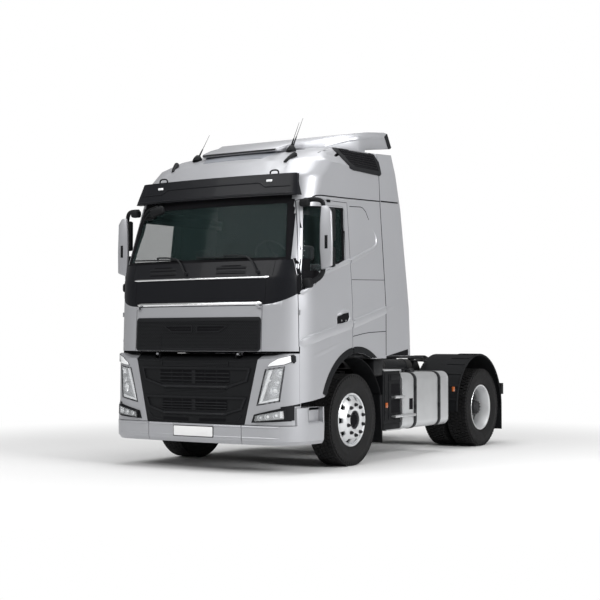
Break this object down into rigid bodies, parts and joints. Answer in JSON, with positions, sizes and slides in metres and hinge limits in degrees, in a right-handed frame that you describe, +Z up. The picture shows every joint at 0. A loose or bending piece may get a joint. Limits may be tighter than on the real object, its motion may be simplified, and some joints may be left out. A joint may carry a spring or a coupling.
{
  "type": "tractor unit of an articulated lorry",
  "caption": "Two axle forward control tractor unit: tall silver sleeper cab with dark front band, steered front wheels, twin rear wheels, fuel tank and fifth wheel coupling.",
  "frame": {"origin": "centre of the footprint on the ground", "axes": "the front faces -Y, +X is the vehicle's left side, +Z up"},
  "size_m": [2.91, 5.462, 3.866],
  "materials": {
    "silver_paint": "metallic gloss",
    "anthracite": "satin",
    "black_plastic": "matte",
    "chassis_paint": "satin",
    "cast_metal": "matte",
    "wheel_aluminium": "polished",
    "tank_aluminium": "brushed",
    "tyre": "matte",
    "glass": "clear",
    "lens": "clear",
    "trim": "matte",
    "upholstery": "woven"
  },
  "bodies": {
    "chassis": {"battery_box": "black_plastic", "bumper_centre": "silver_paint", "bumper_left": "silver_paint", "bumper_right": "silver_paint", "coupling_mount": "chassis_paint", "cross_member_front": "chassis_paint", "deck_plate": "chassis_paint", "engine_block": "cast_metal", "exhaust_box": "black_plastic", "frame_rail_left": "chassis_paint", "frame_rail_right": "chassis_paint", "front_axle": "chassis_paint", "front_fender_left": "black_plastic", "front_fender_right": "black_plastic", "fuel_tank": "tank_aluminium", "headlamp_left": "lens", "headlamp_right": "lens", "lamp_housing_left": "silver_paint", "lamp_housing_right": "silver_paint", "lower_grille": "black_plastic", "prop_shaft": "chassis_paint", "rear_axle": "chassis_paint", "rear_mudguard_left": "black_plastic", "rear_mudguard_right": "black_plastic", "tail_bar": "chassis_paint"},
    "door_left": {"door_glass_left": "glass", "door_left": "silver_paint", "mirror_left": "silver_paint"},
    "door_right": {"door_glass_right": "glass", "door_right": "silver_paint", "mirror_right": "silver_paint"},
    "front_hatch": {"front_hatch": "silver_paint", "upper_grille": "black_plastic"},
    "knuckle_left": {"knuckle_left": "chassis_paint"},
    "knuckle_right": {"knuckle_right": "chassis_paint"},
    "tie_rod": {"tie_rod": "chassis_paint"},
    "wheel_front_left": {"front_rim_left": "wheel_aluminium", "front_tyre_left": "tyre"},
    "wheel_front_right": {"front_rim_right": "wheel_aluminium", "front_tyre_right": "tyre"},
    "wheels_rear_left": {"rear_rims_left": "wheel_aluminium", "rear_tyres_left": "tyre"},
    "wheels_rear_right": {"rear_rims_right": "wheel_aluminium", "rear_tyres_right": "tyre"},
    "fifth_wheel": {"fifth_wheel": "cast_metal"},
    "cab": {"bunk": "upholstery", "cab_shell": "silver_paint", "cowl_band": "anthracite", "dashboard": "trim", "kerb_mirror": "black_plastic", "roof": "silver_paint", "roof_deflector": "silver_paint", "seat_left": "upholstery", "seat_right": "upholstery", "side_fairing_left": "silver_paint", "side_fairing_right": "silver_paint", "steering_wheel": "trim", "visor": "anthracite", "windscreen": "glass"}
  },
  "joints": [
    {"name": "cab_tilt", "type": "hinge", "parent": "chassis", "child": "cab", "pos_m": [0, -2.6475, 1.24], "axis": [1, 0, 0], "range_deg": [0, 50]},
    {"name": "front_hatch_lift", "type": "hinge", "parent": "cab", "child": "front_hatch", "pos_m": [0, -2.6895, 1.744], "axis": [-1, 0, 0], "range_deg": [0, 80]},
    {"name": "door_left_swing", "type": "hinge", "parent": "cab", "child": "door_left", "pos_m": [1.19, -2.4695, 1.5], "axis": [0, 0, -1], "range_deg": [0, 72]},
    {"name": "door_right_swing", "type": "hinge", "parent": "cab", "child": "door_right", "pos_m": [-1.19, -2.4695, 1.5], "axis": [0, 0, 1], "range_deg": [0, 72]},
    {"name": "steer_left", "type": "hinge", "parent": "chassis", "child": "knuckle_left", "pos_m": [0.85, -1.3675, 0.508], "axis": [0, 0, 1], "range_deg": [-38, 38]},
    {"name": "steer_right", "type": "hinge", "parent": "chassis", "child": "knuckle_right", "pos_m": [-0.85, -1.3675, 0.508], "axis": [0, 0, 1], "range_deg": [-38, 38]},
    {"name": "tie_rod_swing", "type": "hinge", "parent": "knuckle_left", "child": "tie_rod", "pos_m": [0.85, -1.0675, 0.42], "axis": [0, 0, 1], "range_deg": [-38, 38]},
    {"name": "wheel_front_left_spin", "type": "hinge", "parent": "knuckle_left", "child": "wheel_front_left", "pos_m": [1.043, -1.3675, 0.508], "axis": [1, 0, 0], "continuous": true},
    {"name": "wheel_front_right_spin", "type": "hinge", "parent": "knuckle_right", "child": "wheel_front_right", "pos_m": [-1.043, -1.3675, 0.508], "axis": [1, 0, 0], "continuous": true},
    {"name": "wheels_rear_left_spin", "type": "hinge", "parent": "chassis", "child": "wheels_rear_left", "pos_m": [0.915, 1.9325, 0.508], "axis": [1, 0, 0], "continuous": true},
    {"name": "wheels_rear_right_spin", "type": "hinge", "parent": "chassis", "child": "wheels_rear_right", "pos_m": [-0.915, 1.9325, 0.508], "axis": [1, 0, 0], "continuous": true},
    {"name": "fifth_wheel_pitch", "type": "hinge", "parent": "chassis", "child": "fifth_wheel", "pos_m": [0, 1.6325, 1.075], "axis": [1, 0, 0], "range_deg": [-10, 10]}
  ],
  "couplings": [
    {"joint": "steer_right", "follows": "steer_left", "ratio": 1},
    {"joint": "tie_rod_swing", "follows": "steer_left", "ratio": -1}
  ]
}
